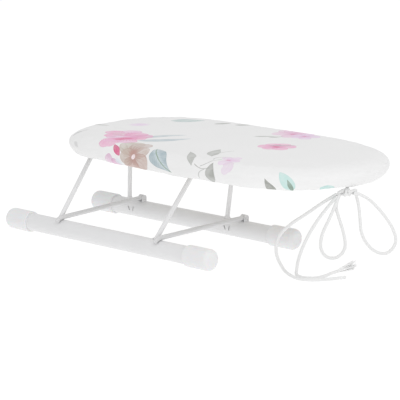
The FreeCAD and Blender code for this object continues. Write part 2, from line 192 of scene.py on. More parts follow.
class Motif(Paint):
    """A reusable group of nodes that lays one shape of colour over what is already painted."""

    FLOATS = {"Length": 0.05, "Width": 0.02, "Blunt": 1.0, "Skew": 0.4, "Bend": 0.0,
              "Strength": 0.9, "Streaks": 0.0, "Edge": 0.0, "Vein": 0.0, "Wash": 0.5, "Grain": 0.5}

    def __init__(self, name, *floats):
        self.tree = bpy.data.node_groups.new(name, "ShaderNodeTree")
        face = self.tree.interface
        for key in ("Flat", "Centre", "Axis", "Side"):
            face.new_socket(key, in_out="INPUT", socket_type="NodeSocketVector")
        for key in ("Ground", "Tint", "Accent"):
            face.new_socket(key, in_out="INPUT", socket_type="NodeSocketColor")
        for key in ("Strength", "Wash", "Grain") + floats:
            socket = face.new_socket(key, in_out="INPUT", socket_type="NodeSocketFloat")
            socket.default_value = self.FLOATS[key]
        face.new_socket("Color", in_out="OUTPUT", socket_type="NodeSocketColor")
        self.given = self.tree.nodes.new("NodeGroupInput").outputs
        self.result = self.tree.nodes.new("NodeGroupOutput")
        self.color = self.given["Ground"]
        moved = self.vector("SUBTRACT", self.given["Flat"], self.given["Centre"])
        self.across = self.dot(moved, self.given["Axis"])
        self.up = self.dot(moved, self.given["Side"])

    def lay(self, mask, color, strength=1.0, uneven=0.3):
        """One wash of colour, thinner where the pigment ran out."""
        body = self.math("MULTIPLY_ADD", self.given["Wash"], uneven, 1 - uneven)
        fine = self.math("MULTIPLY_ADD", self.given["Grain"], 0.1, 0.9)
        amount = self.times(self.times(mask, body), fine)
        amount = self.times(amount, self.given["Strength"])
        self.color = self.mix(self.times(amount, strength), self.color, color)

    def close(self):
        self.put(self.result.inputs["Color"], self.color)
        return self.tree

    def blade(self):
        """A shape along its own axis: how far in from its edge, along it, and off its spine."""
        half = self.times(self.given["Length"], 0.5)
        along = self.math("DIVIDE", self.across, half)
        square = self.math("MINIMUM", self.times(along, along), 1.0)
        spine = self.times(self.times(square, self.given["Bend"]), self.given["Length"])
        side = self.math("SUBTRACT", self.up, spine)
        off = self.math("ABSOLUTE", side)
        held = self.math("MINIMUM", self.math("MAXIMUM", along, -1.0), 1.0)
        taper = self.math("SUBTRACT", 1.0, self.times(held, self.given["Skew"]))
        round_off = self.math("POWER", self.math("SUBTRACT", 1.0, square), self.given["Blunt"])
        reach = self.times(round_off, taper)
        reach = self.times(reach, self.times(self.given["Width"], 0.5))
        return self.math("SUBTRACT", reach, off), along, side, off


def leaf_motif():
    m = Motif("leaf", "Length", "Width", "Blunt", "Skew", "Bend", "Edge", "Vein")
    edge, _, _, off = m.blade()
    mask = m.ramp(edge, 0.0, 0.9 * MM)
    m.lay(mask, m.given["Tint"])
    light = m.ramp(off, 1.0 * MM, 7.0 * MM)
    m.lay(m.times(mask, m.times(light, m.given["Edge"])), m.given["Accent"], 0.55)
    outline = m.times(mask, m.ramp(edge, 1.7 * MM, 0.5 * MM))
    m.lay(m.times(outline, m.given["Edge"]), m.given["Accent"], 0.75)
    middle = m.times(mask, m.ramp(off, 1.3 * MM, 0.4 * MM))
    m.lay(m.times(middle, m.given["Vein"]), shade(*GREEN_VEIN), 0.95)
    slant = m.math("MULTIPLY_ADD", off, -1.3, m.across)
    rows = m.math("ABSOLUTE", m.math("SINE", m.times(slant, 470.0)))
    thin = m.times(mask, m.ramp(rows, 0.3, 0.04))
    m.lay(m.times(thin, m.given["Vein"]), m.given["Accent"], 0.6)
    return m.close()


def petal_motif():
    """A petal whose base is at the end away from its turn angle, with veins that fan out."""
    m = Motif("petal", "Length", "Width", "Blunt", "Skew", "Bend", "Streaks", "Edge")
    edge, along, side, _ = m.blade()
    mask = m.ramp(edge, 0.0, 0.7 * MM)
    m.lay(mask, m.given["Tint"])
    from_base = m.math("ADD", m.times(m.given["Length"], 0.62), m.across)
    fan = m.math("ARCTAN2", side, from_base)
    rows = m.math("ABSOLUTE", m.math("SINE", m.times(fan, 13.0)))
    reach = m.ramp(along, 0.9, -0.7)
    lines = m.times(m.ramp(rows, 0.55, 0.05), reach)
    lines = m.times(m.times(lines, mask), m.given["Streaks"])
    m.lay(lines, m.given["Accent"], 0.85, 0.1)
    throat = m.times(m.times(mask, m.ramp(along, 0.1, -1.0)), m.given["Streaks"])
    m.lay(throat, m.given["Accent"], 0.6, 0.1)
    outline = m.times(mask, m.ramp(edge, 2.1 * MM, 0.6 * MM))
    m.lay(m.times(outline, m.given["Edge"]), m.given["Accent"], 0.8, 0.1)
    return m.close()


def blot_motif():
    m = Motif("blot", "Length", "Width", "Edge")
    across = m.math("DIVIDE", m.across, m.times(m.given["Length"], 0.5))
    up = m.math("DIVIDE", m.up, m.times(m.given["Width"], 0.5))
    radius = m.math("SQRT", m.math("ADD", m.times(across, across), m.times(up, up)))
    m.lay(m.ramp(radius, 1.0, m.given["Edge"]), m.given["Tint"])
    return m.close()


def stem_motif():
    """A thin arc: Length is its radius, Width its thickness and Bend half of its angle."""
    m = Motif("stem", "Length", "Width", "Bend")
    reach = m.math("SQRT", m.math("ADD", m.times(m.across, m.across),
                                  m.times(m.up, m.up)))
    angle = m.math("ABSOLUTE", m.math("ARCTAN2", m.up, m.across))
    off = m.math("ABSOLUTE", m.math("SUBTRACT", reach, m.given["Length"]))
    line = m.ramp(off, m.given["Width"], m.times(m.given["Width"], 0.3))
    ends = m.ramp(m.math("SUBTRACT", m.given["Bend"], angle), -0.03, 0.0)
    m.lay(m.times(line, ends), m.given["Tint"])
    return m.close()


class Print:
    """Watercolour motifs laid one over another on the cloth's flat coordinates, in millimetres."""

    def __init__(self):
        self.motifs = []

    def put(self, kind, x, y, turn, reach, tint, accent=None, ragged=False, **floats):
        lean = math.radians(turn)
        values = {"Centre": (x * MM, y * MM, 0.0), "Axis": (math.cos(lean), math.sin(lean), 0.0),
                  "Side": (-math.sin(lean), math.cos(lean), 0.0), "Tint": shade(*tint),
                  "Accent": shade(*(accent or tint))}
        values.update(floats)
        self.motifs.append((kind, (x, y), reach, ragged, values))

    def near(self, left, low, size):
        """The motifs that touch one square of the cloth."""
        chosen = []
        for number, (_, (x, y), reach, _, _) in enumerate(self.motifs):
            gap = math.hypot(max(left - x, 0, x - left - size), max(low - y, 0, y - low - size))
            if gap < reach + PATCH_MARGIN:
                chosen.append(number)
        return tuple(chosen)

    def leaf(self, x, y, turn, length, width, tint, accent=None, strength=0.95, bend=0.0, vein=0.0, edge=0.0,
             blunt=0.9, skew=0.4):
        self.put("leaf", x, y, turn, length * 0.62, tint, accent, Length=length * MM, Width=width * MM,
                 Strength=strength, Bend=bend, Vein=vein, Edge=edge, Blunt=blunt, Skew=skew)

    def petal(self, x, y, turn, length, width, tint, accent, strength=0.95, bend=0.0, streaks=0.6, edge=0.4,
              blunt=0.5, skew=-0.15, ragged=False):
        self.put("petal", x, y, turn, length * 0.7, tint, accent, ragged, Length=length * MM,
                 Width=width * MM, Strength=strength, Bend=bend, Streaks=streaks, Edge=edge, Blunt=blunt,
                 Skew=skew)

    def blot(self, x, y, turn, length, width, tint, strength=0.8, core=0.5, ragged=True):
        self.put("blot", x, y, turn, max(length, width) / 2, tint, None, ragged, Length=length * MM,
                 Width=width * MM, Strength=strength, Edge=core)

    def stem(self, x, y, radius, start, end, tint, thick=1.1, strength=0.9):
        self.put("stem", x, y, (start + end) / 2, radius, tint, Length=radius * MM, Width=thick * MM,
                 Strength=strength, Bend=math.radians(abs(end - start) / 2))

    def flower(self, x, y, petals, tint, accent, **looks):
        """Petals round one middle: each is (direction, length, width)."""
        for turn, length, width in petals:
            angle = math.radians(turn)
            self.petal(x + length / 2 * math.cos(angle), y + length / 2 * math.sin(angle), turn, length,
                       width, tint, accent, **looks)


GREY_LEAF = (186, 188, 184)
BLUE_LEAF = (206, 217, 220)
BLUE_DARK = (164, 180, 186)
GREEN_VEIN = (124, 150, 116)
AQUA = (192, 226, 221)
AQUA_DEEP = (138, 156, 142)
PINK = (238, 180, 210)
PINK_DEEP = (218, 126, 176)
PINK_HOT = (216, 78, 126)
LILAC = (234, 210, 236)
LILAC_PALE = (238, 226, 240)
TAUPE = (206, 197, 187)
TAUPE_ROSE = (176, 136, 128)
STEM_GREY = (172, 174, 170)


def paint_peony(p):
    """The full blossom at the blunt end: crowded pink petals round a pale heart."""
    looks = {"ragged": True, "streaks": 0.6, "edge": 0.8}
    p.petal(-156, -46, 150, 34, 30, PINK, PINK_DEEP, **looks)
    p.petal(-140, -28, 130, 34, 32, (238, 198, 224), PINK_DEEP, **looks)
    p.petal(-142, -64, 190, 30, 28, PINK, PINK_DEEP, **looks)
    p.petal(-139, -50, 120, 30, 32, (232, 196, 212), (206, 176, 190), **looks)
    p.petal(-120, -38, 95, 34, 38, PINK, PINK_DEEP, **looks)
    p.petal(-103, -43, 60, 36, 29, (232, 176, 206), (206, 150, 176), **looks)
    p.petal(-99, -59, 30, 34, 29, PINK, PINK_DEEP, **looks)
    p.petal(-112, -100, -70, 40, 34, PINK, PINK_DEEP, **looks)
    p.petal(-117, -90, -110, 30, 28, (240, 200, 224), PINK_DEEP, **looks)
    p.petal(-95, -84, -50, 34, 30, (238, 194, 222), PINK_HOT, ragged=True, streaks=0.7, edge=0.5)
    p.petal(-129, -72, 195, 32, 28, (238, 198, 224), PINK_DEEP, **looks)
    p.petal(-117, -61, 110, 30, 30, (234, 178, 210), PINK_HOT, ragged=True, streaks=0.5, edge=0.3)
    p.petal(-108, -71, 30, 34, 22, (236, 172, 208), PINK_HOT, ragged=True, streaks=0.8, edge=0.3)
    p.petal(-117, -86, -80, 32, 28, (238, 186, 216), PINK_HOT, ragged=True, streaks=0.5, edge=0.3)
    p.blot(-127, -67, 43, 26, 26, LILAC_PALE, 0.85, 0.3)
    p.blot(-108, -67, 62, 38, 9, PINK_HOT, 0.85, 0.3)
    p.blot(-112, -82, 30, 24, 10, PINK_HOT, 0.75, 0.3)
    p.blot(-93, -53, 62, 28, 6, (222, 96, 140), 0.8, 0.3)
    p.blot(-135, -74, 60, 20, 6, (196, 152, 172), 0.6, 0.3)
    p.petal(-83, -120, -43, 30, 11, (220, 78, 134), (186, 44, 104), streaks=0.4, edge=0.5, blunt=0.7)
    p.petal(-97, -142, -100, 26, 20, (234, 206, 226), (206, 160, 190), streaks=0.6, edge=0.4)
    p.petal(-85, -146, -60, 20, 17, (234, 196, 220), (200, 150, 184), streaks=0.7, edge=0.4)
    p.blot(-77, -143, 0, 14, 22, (220, 232, 238), 0.8, 0.4)


def paint_open_flower(p):
    """The open flower beside it: five pale brown petals with rosy streaks and a white middle."""
    looks = {"streaks": 0.85, "edge": 0.75, "strength": 0.97}
    p.petal(-62, -106, 128, 50, 40, TAUPE, (170, 150, 136), streaks=0.6, edge=0.6, strength=0.97)
    p.petal(-48, -104, 92, 44, 32, (208, 194, 188), TAUPE_ROSE, **looks)
    p.petal(-33, -119, 38, 30, 26, (206, 190, 182), TAUPE_ROSE, **looks)
    p.petal(-30, -136, -24, 34, 30, (204, 184, 176), TAUPE_ROSE, **looks)
    p.petal(-49, -146, -105, 34, 34, (204, 178, 170), TAUPE_ROSE, **looks)
    p.petal(-57, -130, 176, 28, 34, (202, 186, 176), TAUPE_ROSE, **looks)
    p.blot(-46, -124, 110, 28, 22, (192, 148, 142), 0.75, 0.2, ragged=False)
    p.blot(-44, -129, 0, 8, 10, (250, 240, 243), 1.0, 0.75, ragged=False)
    p.blot(-44, -130, 0, 3, 5, (240, 214, 224), 0.7, 0.3, ragged=False)


def paint_motifs(p):
    """Where each flower, leaf and stem of the print lies on the cloth."""
    p.leaf(-57, -42, 55, 84, 18, (194, 206, 212), BLUE_DARK, bend=0.06, edge=0.8, blunt=0.8)
    p.leaf(-82, -16, 62, 70, 14, (200, 210, 214), BLUE_DARK, bend=-0.06, edge=0.6, blunt=0.8)
    paint_peony(p)
    paint_open_flower(p)
    p.leaf(8, -127, -42, 68, 29, (190, 206, 212), (146, 164, 172), bend=0.06, vein=1.0, edge=0.9,
           skew=0.5, blunt=1.1)
    # grey leaves on a curling stem
    p.leaf(56, -103, 132, 66, 14, GREY_LEAF, (170, 172, 168), bend=0.05, edge=0.3, blunt=1.2)
    p.leaf(64, -64, 118, 58, 19, GREY_LEAF, (174, 176, 172), bend=-0.06, edge=0.3, blunt=1.1)
    p.leaf(112, -135, 100, 44, 18, (166, 168, 163), (150, 152, 148), edge=0.3, blunt=1.2)
    p.stem(96, -104, 26, 230, 300, STEM_GREY)
    p.stem(74, -98, 33, -58, 28, STEM_GREY)
    p.stem(124, -58, 52, 155, 215, STEM_GREY)
    p.stem(106, -146, 16, 110, 190, STEM_GREY)
    p.stem(110, -92, 16, 90, 230, STEM_GREY)
    # a small open flower and the bud below it
    pale = {"streaks": 0.35, "edge": 0.25, "strength": 0.8, "ragged": True}
    p.flower(120, -93, ((142, 25, 18), (97, 24, 20), (30, 16, 16), (-10, 19, 18), (-75, 24, 20)),
             (236, 214, 236), (222, 170, 208), **pale)
    p.petal(137, -117, -70, 30, 17, (232, 216, 232), (220, 186, 210), **pale)
    p.blot(120, -93, 43, 13, 6, (214, 92, 150), 0.85, 0.3)
    # a flat pink flower near the middle
    p.flower(99, 32, ((40, 30, 26), (95, 28, 26), (150, 26, 24), (210, 28, 26), (270, 26, 24),
                       (330, 28, 24)), (238, 184, 212), (222, 128, 176), streaks=0.6, edge=0.4)
    p.blot(99, 30, 43, 16, 12, PINK_HOT, 0.85, 0.3)
    p.leaf(100, 46, 43, 46, 9, (196, 182, 188))
    # leaves under the nose
    p.leaf(217, -128, 136, 44, 17, (154, 156, 150), (130, 132, 126), edge=0.4, blunt=1.2)
    p.leaf(234, -102, 155, 44, 21, AQUA, (186, 214, 210), edge=0.3, blunt=0.8)
    p.leaf(243, -105, 147, 30, 9, AQUA_DEEP, (140, 150, 130), edge=0.5)
    p.leaf(303, -58, 28, 52, 27, (190, 224, 220), (170, 208, 204), edge=0.4)
    # the far side
    p.flower(48, 130, ((43, 40, 26), (100, 30, 26), (160, 36, 26), (220, 34, 26), (290, 34, 24),
                       (345, 34, 26)),
             (236, 208, 226), (222, 156, 194), streaks=0.6, edge=0.5)
    p.petal(34, 142, 130, 30, 26, (236, 208, 226), (222, 156, 194), streaks=0.6, edge=0.5)
    p.blot(50, 128, 43, 16, 10, (216, 108, 156), 0.8, 0.3)
    p.flower(74, 124, ((30, 24, 20), (110, 24, 20), (180, 22, 18), (250, 22, 18), (315, 24, 20)),
             (234, 214, 236), (222, 160, 200), streaks=0.6, edge=0.4)
    p.blot(74, 124, 43, 12, 8, (216, 108, 156), 0.8, 0.3)
    p.leaf(30, 84, 43, 34, 9, GREY_LEAF)
    p.leaf(46, 92, 60, 26, 8, GREY_LEAF)
    p.blot(-180, 28, 43, 42, 30, LILAC, 0.8, 0.4)
    p.leaf(-150, 106, 43, 54, 26, (208, 222, 220), BLUE_DARK, edge=0.7, vein=0.5)
    p.leaf(-92, 124, 62, 30, 12, GREY_LEAF)
    p.leaf(-60, 136, 43, 28, 12, GREY_LEAF)
    p.leaf(-220, -13, 20, 30, 7, GREY_LEAF)
    p.leaf(-206, -72, 90, 42, 7, (200, 200, 200), strength=0.8)
    p.leaf(-178, -116, -40, 20, 8, (208, 208, 208), strength=0.7)
    # the rim that faces away
    p.flower(-206, 190, ((20, 30, 26), (92, 30, 26), (164, 30, 26), (236, 30, 26), (308, 30, 26)),
             TAUPE, TAUPE_ROSE, streaks=0.85, edge=0.7)
    p.leaf(-120, 188, -10, 52, 24, BLUE_LEAF, BLUE_DARK, bend=0.06, vein=1.0, edge=0.8)
    p.flower(150, 182, ((10, 28, 26), (70, 28, 26), (130, 28, 24), (190, 28, 26), (250, 28, 24),
                        (310, 28, 26)),
             PINK, PINK_DEEP, streaks=0.7, edge=0.5)
    p.leaf(60, 186, 160, 48, 18, AQUA, AQUA_DEEP, vein=0.8, edge=0.5)


PATCH = 70.0
PRINT_SHIFT = 1.5 * MM
PATCH_MARGIN = 14.0


def printed_cotton(name, motifs, groups):
    """White cotton with the motifs that fall on one patch of it."""
    paint = Paint(name)
    flat = paint.attribute("flat")
    color = paint.mix(paint.noise(flat, 14.0, 3.0), shade(237, 237, 237), shade(241, 241, 241))
    wobble = paint.vector("SUBTRACT", paint.noise(flat, 45.0, 3.0, "Color"), (0.5, 0.5, 0.5))
    ragged = paint.vector("ADD", flat, paint.scaled(wobble, 11.0 * MM))
    clean = paint.vector("ADD", flat, paint.scaled(wobble, 3.0 * MM))
    wash = paint.ramp(paint.noise(flat, 70.0, 4.0), 0.3, 0.7)
    grain = paint.ramp(paint.noise(flat, 320.0, 3.0), 0.25, 0.75)
    for kind, _, _, is_ragged, values in motifs:
        node = paint.tree.nodes.new("ShaderNodeGroup")
        node.node_tree = groups[kind]
        given = {"Flat": ragged if is_ragged else clean, "Ground": color, "Wash": wash, "Grain": grain}
        given.update(values)
        for key, value in given.items():
            paint.put(node.inputs[key], value)
        color = node.outputs["Color"]
    threads = weave(paint, flat)
    slub = paint.noise(flat, 260.0, 4.0)
    height = paint.math("MULTIPLY_ADD", threads, 0.5, slub)
    puff = paint.bump(paint.noise(flat, 26.0, 3.0), 0.25, 1.2 * MM)
    normal = paint.bump(height, 0.35, 0.12 * MM, puff)
    rough = paint.math("MULTIPLY_ADD", slub, 0.12, 0.8)
    return paint.finish(color=color, rough=rough, normal=normal, sheen=0.15, sheen_rough=0.5, specular=0.25)


def print_cloth(piece, flat):
    """Gives every patch of the cloth the material that holds its own motifs."""
    design = Print()
    paint_motifs(design)
    groups = {"leaf": leaf_motif(), "petal": petal_motif(), "blot": blot_motif(), "stem": stem_motif()}
    slots = {}
    numbers = []
    for polygon in piece.data.polygons:
        place = flat[list(polygon.vertices)].mean(axis=0) / MM
        left, low = (math.floor(c / PATCH) * PATCH for c in place[:2])
        chosen = design.near(left, low, PATCH)
        if chosen not in slots:
            slots[chosen] = len(slots)
            motifs = [design.motifs[number] for number in chosen]
            piece.data.materials.append(printed_cotton(f"printed_cotton_{len(slots)}", motifs, groups))
        numbers.append(slots[chosen])
    piece.data.polygons.foreach_set("material_index", numbers)


def plain_cotton():
    paint = Paint("plain_cotton")
    place = paint.object_place()
    threads = weave(paint, paint.attribute("flat"))
    slub = paint.noise(place, 240.0, 4.0)
    color = paint.mix(slub, shade(226, 226, 227), shade(240, 240, 240))
    normal = paint.bump(paint.math("MULTIPLY_ADD", threads, 0.4, slub), 0.5, 0.15 * MM)
    return paint.finish(color=color, rough=paint.math("MULTIPLY_ADD", slub, 0.1, 0.82), normal=normal,
                        sheen=0.15, sheen_rough=0.5, specular=0.25)


def foam_skin():
    paint = Paint("foam_skin")
    place = paint.object_place()
    cells = paint.make("ShaderNodeTexVoronoi", {"Vector": place, "Scale": 900.0}, feature="F1")
    pores = paint.ramp(cells.outputs["Distance"], 0.1, 0.6)
    # the foam's pores are painted darker than its cell walls: painted shade in the holes
    color = paint.mix(pores, shade(214, 208, 190), shade(240, 236, 222))
    return paint.finish(color=color, rough=0.95, normal=paint.bump(pores, 0.6, 0.4 * MM))


def cotton_cord(name, valley_shade, crest):
    paint = Paint(name)
    strand = paint.attribute("strand")
    turn, along, _ = paint.split(strand)
    yarn = paint.math("SINE", paint.math("MULTIPLY_ADD", along, 5200.0, paint.times(turn, 9.0)))
    fuzz = paint.noise(paint.object_place(), 1500.0, 3.0)
    height = paint.math("MULTIPLY_ADD", yarn, 0.3, fuzz)
    # the grooves of the twist are painted darker than the crests: painted shade between the yarns
    color = paint.mix(paint.ramp(yarn, -1.0, 0.3), shade(valley_shade, valley_shade, valley_shade), shade(crest, crest, crest))
    return paint.finish(color=color, rough=0.9, normal=paint.bump(height, 0.6, 0.18 * MM), sheen=0.3,
                        sheen_rough=0.6, specular=0.2)


def powder_coat(name, level, peel, strength):
    """Sprayed white enamel with a faint orange peel, a little greyer in random patches."""
    paint = Paint(name)
    place = paint.object_place()
    skin = paint.noise(place, peel, 3.0)
    dust = paint.noise(place, 35.0, 4.0)
    color = paint.mix(dust, shade(level - 4, level - 4, level - 3), shade(level + 2, level + 2, level + 3))
    rough = paint.math("MULTIPLY_ADD", paint.noise(place, 160.0, 3.0), 0.16, 0.3)
    return paint.finish(color=color, rough=rough, normal=paint.bump(skin, strength, 0.06 * MM),
                        coat=0.2, coat_rough=0.25)


def soft_plastic():
    paint = Paint("soft_plastic")
    place = paint.object_place()
    grain = paint.noise(place, 900.0, 3.0)
    cloud = paint.noise(place, 40.0, 3.0)
    color = paint.mix(cloud, shade(229, 229, 230), shade(235, 235, 236))
    rough = paint.math("MULTIPLY_ADD", cloud, 0.15, 0.42)
    return paint.finish(color=color, rough=rough, normal=paint.bump(grain, 0.3, 0.05 * MM), specular=0.4,
                        under=0.08, under_scale=4 * MM)


def laminated_board():
    paint = Paint("laminated_board")
    place = paint.object_place()
    grit = paint.noise(place, 500.0, 4.0)
    cloud = paint.noise(place, 22.0, 3.0)
    color = paint.mix(cloud, shade(222, 220, 215), shade(232, 230, 226))
    return paint.finish(color=color, rough=paint.math("MULTIPLY_ADD", grit, 0.15, 0.5),
                        normal=paint.bump(grit, 0.25, 0.08 * MM))


def plated_steel(name, level):
    paint = Paint(name)
    place = paint.object_place()
    stretched = paint.make("ShaderNodeMapping", {"Vector": place, "Scale": (60.0, 900.0, 900.0)})
    brushed = paint.noise(stretched.outputs[0], 1.0, 3.0)
    color = paint.mix(brushed, shade(level - 14, level - 14, level - 12), shade(level, level, level + 2))
    rough = paint.math("MULTIPLY_ADD", brushed, 0.2, 0.28)
    return paint.finish(color=color, rough=rough, metal=0.85, normal=paint.bump(brushed, 0.2, 0.03 * MM))


def pale_floor():
    paint = Paint("pale_floor")
    mottle = paint.noise(paint.object_place(), 3.0, 2.0)
    color = paint.mix(mottle, (0.19, 0.19, 0.19, 1), (0.21, 0.21, 0.21, 1))
    material = paint.finish(color=color, rough=0.7, specular=0.0)
    paint.put(paint.surface.inputs["Emission Color"], (1, 1, 1, 1))
    paint.put(paint.surface.inputs["Emission Strength"], FLOOR_GLOW)
    return material


# ---- meshes ----

OUTLINE_POINTS = 720        # points of the outline that the cloth is measured from
AT_ONCE = 4000              # points measured in one go
TOP_RINGS = 34
RIM_RINGS = 25
COVER_INSET = 1.2 * MM
FOAM_INSET = 4.0 * MM
COVER_ROUNDS = 420
FOAM_ROUNDS = 200
HEM_ROUNDS = 900
CASING_REACH = 12.0 * MM
CASING_LIFT = 1.2 * MM
CASING_GAP = 0.4 * MM
FINE_ANGLES = 4001
PINNED_RINGS = 6
CLOTH_PRESSURE = 4.0
CLOTH_FRAMES = 20
SWELL_LIMIT = 1.2 * MM


def new_mesh(name, points, faces, smooth=True):
    mesh = bpy.data.meshes.new(name)
    mesh.from_pydata([tuple(p) for p in points], [], faces)
    mesh.polygons.foreach_set("use_smooth", [smooth] * len(mesh.polygons))
    mesh.update()
    piece = bpy.data.objects.new(name, mesh)
    scene.collection.objects.link(piece)
    return piece


def places_of(mesh):
    places = np.empty(len(mesh.vertices) * 3)
    mesh.vertices.foreach_get("co", places)
    return places.reshape(-1, 3)


def ring_faces(rings, count, close_rings=False):
    faces = []
    last = rings if close_rings else rings - 1
    for i in range(last):
        a, b = i * count, ((i + 1) % rings) * count
        for j in range(count):
            k = (j + 1) % count
            faces.append((a + j, a + k, b + k, b + j))
    return faces


def store_vectors(piece, name, vectors):
    data = piece.data.attributes.new(name, "FLOAT_VECTOR", "POINT")
    data.data.foreach_set("vector", np.asarray(vectors, dtype=np.float32).ravel())


def waves(angles, parts):
    """A sum of waves round the outline: (count, size, phase) for each."""
    total = np.zeros_like(angles)
    for count, size, phase in parts:
        total += size * np.sin(count * angles + phase)
    return total


def even_angles(count):
    """Angles whose points are evenly spaced along the outline."""
    fine = np.linspace(0, 2 * math.pi, FINE_ANGLES)
    points, _ = core_points(fine)
    steps = np.linalg.norm(np.diff(points, axis=0), axis=1)
    length = np.concatenate([[0], np.cumsum(steps)])
    return np.interp(np.arange(count) / count * length[-1], length, fine)


def flat_place(points):
    """The cloth's own flat coordinates: the top as it lies, and the rim unrolled outwards."""
    angles = even_angles(OUTLINE_POINTS)
    core, normal = core_points(angles)
    middle = BOARD_MIDDLE.z
    half = (COVER_HIGH.z - COVER_LOW.z) / 2
    flat = np.zeros((len(points), 3))
    for start in range(0, len(points), AT_ONCE):
        part = points[start:start + AT_ONCE]
        gap = part[:, None, :2] - core[None]
        nearest = np.argmin((gap ** 2).sum(2), axis=1)
        rows = np.arange(len(part))
        offset = gap[rows, nearest]
        out = (offset * normal[nearest]).sum(1)
        tangent = np.stack([-normal[nearest, 1], normal[nearest, 0]], -1)
        slide = (offset * tangent).sum(1)
        rise = (part[:, 2] - middle) / half
        turn = np.arctan2(rise, np.maximum(out, 0) / RIM_ROUND)
        arc = (RIM_ROUND + half) / 2 * (math.pi / 2 - turn)
        under = (out < 0) & (rise < 0)
        arc = np.where(under, (RIM_ROUND + half) / 2 * math.pi - out, arc)
        rim = core[nearest] + normal[nearest] * arc[:, None] + tangent * slide[:, None]
        on_top = (out <= 0) & (rise > 0)
        flat[start:start + AT_ONCE, :2] = np.where(on_top[:, None], part[:, :2], rim)
    return flat


def padded_skin(name, inset, rounds, gathers=True):
    """The cover or the pad: a crowned top, a rounded rim and the band turned under."""
    angles = even_angles(rounds)
    core, normal = core_points(angles)
    centre = np.array([BOARD_MIDDLE.x, BOARD_MIDDLE.y])
    middle = BOARD_MIDDLE.z
    half = (COVER_HIGH.z - COVER_LOW.z) / 2 - inset
    reach = RIM_ROUND - inset
    rings = []
    for share in np.linspace(0.03, 1.0, TOP_RINGS)[:-1]:
        plan = centre + (core - centre) * share
        rings.append(np.column_stack([plan, np.full(rounds, middle + half)]))
    for degrees in np.linspace(90, -90, RIM_RINGS):
        turn = math.radians(degrees)
        plan = core + normal * reach * math.cos(turn)
        height = np.full(rounds, middle + half * math.sin(turn))
        if gathers:
            share = max(0.0, -math.sin(turn)) ** 2
            low = waves(angles, ((7, 0.7, 0.4), (13, 0.5, 2.0), (23, 0.35, 4.0), (57, 0.2, 1.0)))
            height = height - share * low * MM
            pucker = waves(angles, ((61, 0.35, 0.0), (97, 0.3, 1.3), (139, 0.25, 3.1)))
            plan = plan + normal * (share * pucker * MM)[:, None]
        rings.append(np.column_stack([plan, height]))
    for step in (1.0, 2.0, 3.0):
        plan = core - normal * step * MM
        height = np.full(rounds, middle - half + 0.5 * step * MM)
        rings.append(np.column_stack([plan, height]))
    points = np.concatenate(rings)
    top = np.array([[centre[0], centre[1], middle + half]])
    faces = [tuple(reversed(face)) for face in ring_faces(len(rings), rounds)]
    last = len(points)
    faces += [(last, j, (j + 1) % rounds) for j in range(rounds)]
    return new_mesh(name, np.concatenate([points, top]), faces), len(rings)


def puff_up(piece, pinned, pressure, cap):
    """Swells the cloth over its foam by simulation, then limits how far any point moved."""
    start = places_of(piece.data)
    group = piece.vertex_groups.new(name="pinned")
    group.add([int(i) for i in pinned], 1.0, "REPLACE")
    cloth = piece.modifiers.new("cloth", "CLOTH")
    settings = cloth.settings
    settings.quality = 4
    settings.mass = 0.2
    settings.tension_stiffness = 22
    settings.compression_stiffness = 18
    settings.shear_stiffness = 12
    settings.bending_stiffness = 1.2
    settings.use_pressure = True
    settings.uniform_pressure_force = pressure
    settings.vertex_group_mass = "pinned"
    settings.effector_weights.gravity = 0
    cloth.collision_settings.use_collision = False
    cloth.collision_settings.use_self_collision = False
    for number in range(1, CLOTH_FRAMES + 1):
        scene.frame_set(number)
    shaped = piece.evaluated_get(bpy.context.evaluated_depsgraph_get()).to_mesh()
    move = places_of(shaped) - start
    piece.modifiers.remove(cloth)
    scene.frame_set(1)
    length = np.linalg.norm(move, axis=1, keepdims=True)
    limited = move * np.minimum(1.0, cap / np.maximum(length, 1e-9))
    piece.data.vertices.foreach_set("co", (start + limited).ravel())
    piece.data.update()


def make_cover():
    cover, rings = padded_skin("cover", COVER_INSET, COVER_ROUNDS)
    pinned = range((rings - PINNED_RINGS) * COVER_ROUNDS, rings * COVER_ROUNDS)
    puff_up(cover, pinned, CLOTH_PRESSURE, SWELL_LIMIT)
    flat = flat_place(places_of(cover.data)) + (0, PRINT_SHIFT, 0)
    store_vectors(cover, "flat", flat)
    print_cloth(cover, flat)
    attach(cover, "board")
    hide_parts("fabric_cover")


def make_foam():
    foam, _ = padded_skin("foam", FOAM_INSET, FOAM_ROUNDS, gathers=False)
    foam.data.materials.append(foam_skin())
    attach(foam, "board")
    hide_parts("foam_pad")


def make_hem():
    """The gathered casing: a soft ring under the rim, puckered tight on its inner edge."""
    angles = even_angles(HEM_ROUNDS)
    core, normal = core_points(angles)
    pucker = waves(angles, ((103, 0.5, 0.3), (151, 0.45, 1.9), (67, 0.35, 4.2), (211, 0.3, 0.8)))
    wander = waves(angles, ((5, 0.5, 1.0), (9, 0.35, 2.6)))
    base = RIM_ROUND - CASING_REACH
    low = COVER_LOW.z + CASING_LIFT
    high = PANEL_LOW.z - CASING_GAP
    profile = [(0.0, high - 0.5 * MM), (1.5, high - 3.5 * MM), (-1.0, low + 2.4 * MM), (-4.0, low + 1.0 * MM),
               (-6.6, low + 0.9 * MM), (-8.4, low + 2.2 * MM), (-9.0, low + 4.2 * MM), (-8.6, low + 6.2 * MM),
               (-7.0, high), (-3.5, high + 0.1 * MM)]
    rings = []
    for out, height in profile:
        inner = min(1.0, max(0.0, (2.0 - out) / 8.0))
        offset = base + (out + inner * (pucker + wander)) * MM
        plan = core + normal * offset[:, None]
        level = np.full(HEM_ROUNDS, height) + inner * pucker * 0.5 * MM
        rings.append(np.column_stack([plan, np.minimum(level, high + 0.2 * MM)]))
    hem = new_mesh("hem", np.concatenate(rings), ring_faces(len(rings), HEM_ROUNDS, close_rings=True))
    store_vectors(hem, "flat", flat_place(places_of(hem.data)))
    hem.data.materials.append(plain_cotton())
    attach(hem, "board")
    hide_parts("hem_casing")


# ---- the drawstring bow, its routes in millimetres ----

